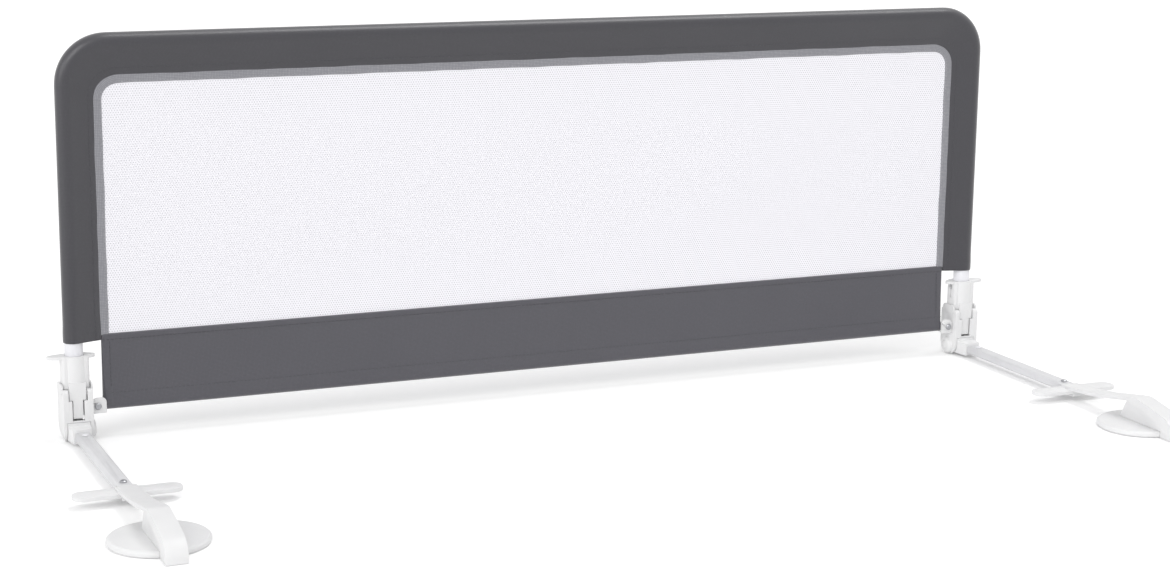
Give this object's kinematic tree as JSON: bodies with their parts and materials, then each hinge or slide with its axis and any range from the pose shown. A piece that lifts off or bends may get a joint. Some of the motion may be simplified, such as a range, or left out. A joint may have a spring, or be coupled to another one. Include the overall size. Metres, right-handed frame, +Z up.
{
  "type": "folding bed guard rail",
  "caption": "Fabric and net guard rail on a bent tube frame that folds down on two sprung, locking hinges; flat arms with pads go under a mattress.",
  "frame": {"origin": "centre of the bounding box in plan, on the surface that the arms lie on", "axes": "+X along the rail, +Y from the arms towards the outside of the bed, +Z up"},
  "size_m": [1.12, 0.4272, 0.4],
  "materials": {
    "white_steel": "white powder coat on steel tube",
    "white_plastic": "moulded white nylon, satin",
    "zinc_steel": "zinc plated steel",
    "spring_steel": "drawn spring wire",
    "grey_fabric": "dark grey woven polyester",
    "grey_binding": "light grey woven binding tape",
    "white_mesh": "white warp-knitted polyester net"
  },
  "bodies": {
    "base": {"left_knuckle": "white_plastic", "left_arm_tube": "white_steel", "left_arm_rivet": "zinc_steel", "left_foot": "white_plastic", "left_clamp_screw": "zinc_steel", "left_foot_pad": "white_plastic", "left_pad_screw": "zinc_steel", "right_knuckle": "white_plastic", "right_arm_tube": "white_steel", "right_arm_rivet": "zinc_steel", "right_foot": "white_plastic", "right_clamp_screw": "zinc_steel", "right_foot_pad": "white_plastic", "right_pad_screw": "zinc_steel"},
    "panel": {"left_hinge_housing": "white_plastic", "left_housing_screw": "zinc_steel", "left_side_lug": "white_plastic", "left_lug_screw": "zinc_steel", "left_spring_seat": "white_plastic", "left_pivot_pin": "zinc_steel", "left_pivot_cap": "white_plastic", "left_frame_tube": "white_steel", "left_tube_joiner": "zinc_steel", "right_hinge_housing": "white_plastic", "right_housing_screw": "zinc_steel", "right_side_lug": "white_plastic", "right_lug_screw": "zinc_steel", "right_spring_seat": "white_plastic", "right_pivot_pin": "zinc_steel", "right_pivot_cap": "white_plastic", "right_frame_tube": "white_steel", "right_tube_joiner": "zinc_steel", "top_frame_tube": "white_steel", "lower_cross_tube": "white_steel", "border_sleeve": "grey_fabric", "mesh_binding": "grey_binding", "mesh_panel": "white_mesh", "skirt": "grey_fabric"},
    "left_lock": {"left_lock_slider": "white_plastic", "left_lock_tongue": "white_plastic", "left_lock_spring": "spring_steel"},
    "right_lock": {"right_lock_slider": "white_plastic", "right_lock_tongue": "white_plastic", "right_lock_spring": "spring_steel"}
  },
  "joints": [
    {"name": "panel_fold", "type": "hinge", "parent": "base", "child": "panel", "pos_m": [0, 0.19648, 0.01], "axis": [-1, 0, 0], "range_deg": [0, 90]},
    {"name": "left_lock_slide", "type": "slide", "parent": "panel", "child": "left_lock", "axis": [0, 0, 1], "range_m": [0, 0.009], "stiffness_N_per_m": 250, "springref_m": -0.006, "deforming": ["left_lock_spring"]},
    {"name": "right_lock_slide", "type": "slide", "parent": "panel", "child": "right_lock", "axis": [0, 0, 1], "range_m": [0, 0.009], "stiffness_N_per_m": 250, "springref_m": -0.006, "deforming": ["right_lock_spring"]}
  ]
}
